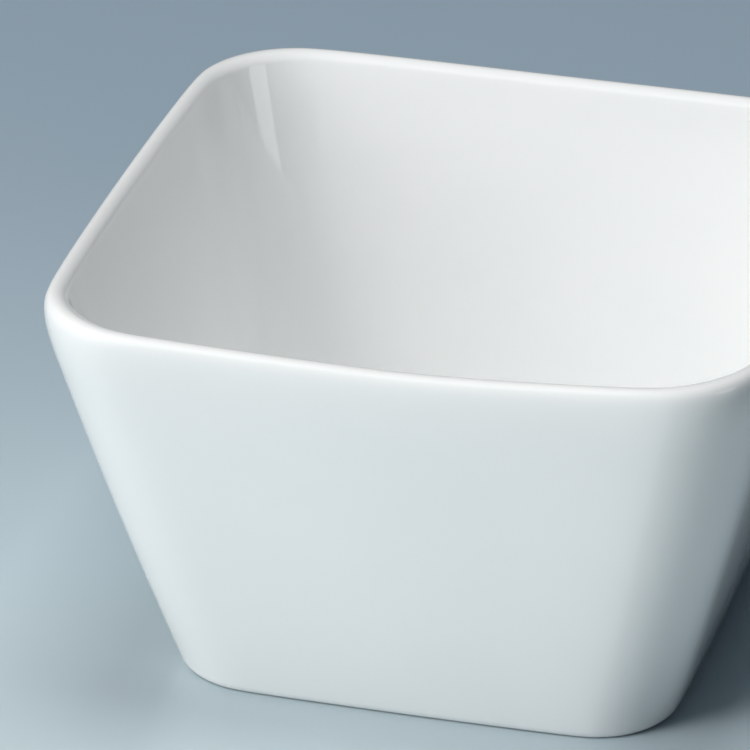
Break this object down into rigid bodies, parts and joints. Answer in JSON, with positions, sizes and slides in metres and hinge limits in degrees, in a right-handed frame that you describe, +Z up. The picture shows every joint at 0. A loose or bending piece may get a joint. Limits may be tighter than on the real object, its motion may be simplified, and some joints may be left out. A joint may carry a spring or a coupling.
{
  "type": "sauce bowl",
  "caption": "Square white glazed porcelain sauce bowl with flared walls, softly rounded corners and lip, and a bare ring foot around a shallow glazed hollow.",
  "frame": {"origin": "on the table, under the middle of the bowl", "axes": "+Z up along the bowl's axis, -Y out of the side that faces the viewer, +X out of the side to its right"},
  "size_m": [0.0918, 0.0888, 0.054],
  "materials": {
    "porcelain": "bare fired porcelain, matt and finely grained",
    "glaze": "smooth glossy white glaze"
  },
  "bodies": {
    "root": {"porcelain_body": "porcelain", "glaze_coat": "glaze", "foot_hollow_glaze": "glaze"}
  },
  "joints": []
}
